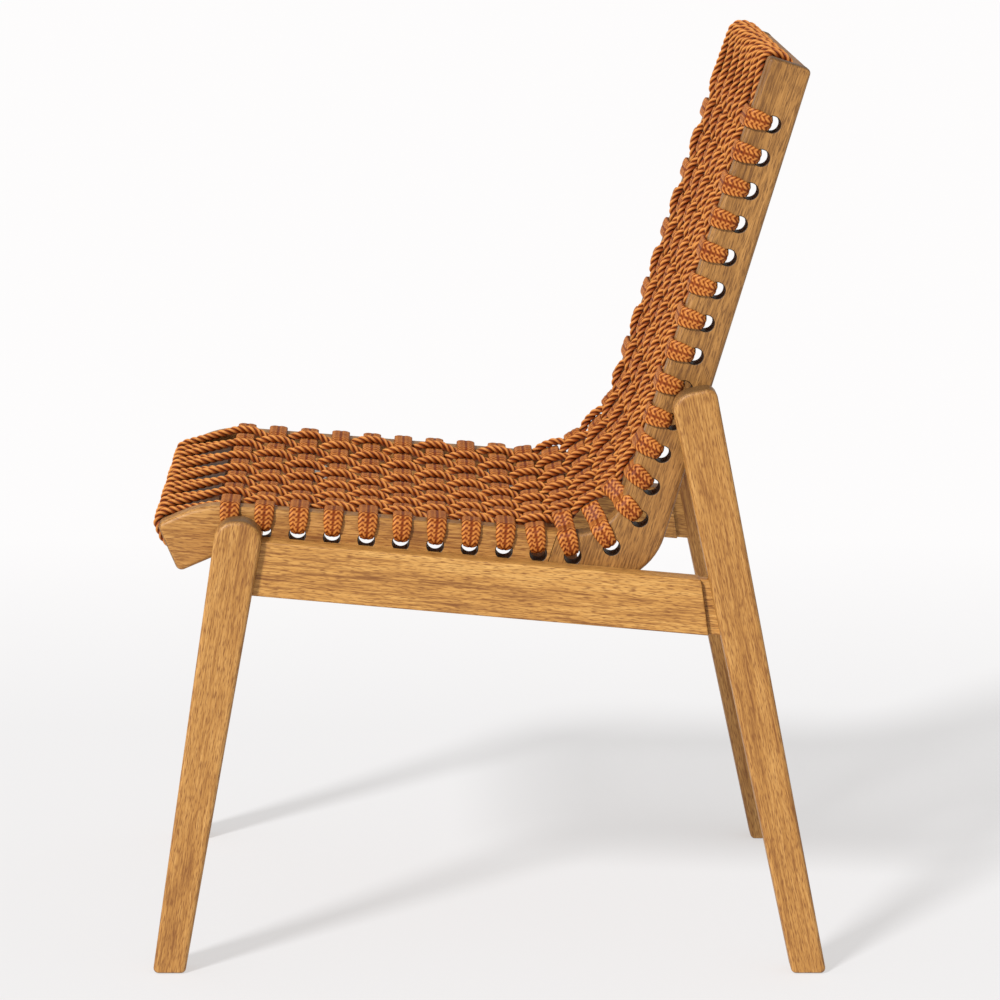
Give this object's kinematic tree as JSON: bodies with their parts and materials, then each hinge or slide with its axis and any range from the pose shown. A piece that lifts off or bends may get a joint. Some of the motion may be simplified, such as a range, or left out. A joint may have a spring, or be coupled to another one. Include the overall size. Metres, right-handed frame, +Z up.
{
  "type": "wooden side chair",
  "caption": "Wooden side chair with splayed legs outside two L-shaped frames, its seat and back woven from round ropes and flat braided straps.",
  "frame": {"origin": "on the floor, in the middle of the box round the chair", "axes": "+Z up, -Y towards the front of the seat, +X towards the chair's right-hand side as drawn from the front view's right"},
  "size_m": [0.5, 0.6226, 0.8491],
  "materials": {
    "leg_wood": "oiled, satin",
    "frame_wood": "oiled, satin",
    "bar_wood": "oiled, satin",
    "bolt_steel": "satin",
    "strap": "flat braid, matt",
    "rope": "three-strand rope, matt"
  },
  "bodies": {
    "root": {"front_leg_left": "leg_wood", "front_leg_right": "leg_wood", "rear_leg_left": "leg_wood", "rear_leg_right": "leg_wood", "side_rail_left": "leg_wood", "side_rail_right": "leg_wood", "seat_rail_left": "frame_wood", "seat_rail_right": "frame_wood", "back_stile_left": "frame_wood", "back_stile_right": "frame_wood", "front_bar": "bar_wood", "crest_bar": "bar_wood", "crest_cover": "frame_wood", "rear_stretcher": "bar_wood", "frame_bolts": "bolt_steel", "strap_01": "strap", "strap_02": "strap", "strap_03": "strap", "strap_04": "strap", "strap_05": "strap", "strap_06": "strap", "strap_07": "strap", "strap_08": "strap", "strap_09": "strap", "strap_10": "strap", "strap_11": "strap", "strap_12": "strap", "strap_13": "strap", "strap_14": "strap", "strap_15": "strap", "strap_16": "strap", "strap_17": "strap", "strap_18": "strap", "strap_19": "strap", "strap_20": "strap", "strap_21": "strap", "strap_22": "strap", "strap_23": "strap", "strap_24": "strap", "strap_25": "strap", "rope_01": "rope", "rope_02": "rope", "rope_03": "rope", "rope_04": "rope", "rope_05": "rope", "rope_06": "rope", "rope_07": "rope", "rope_08": "rope", "rope_09": "rope", "rope_10": "rope", "rope_11": "rope", "rope_12": "rope"}
  },
  "joints": []
}
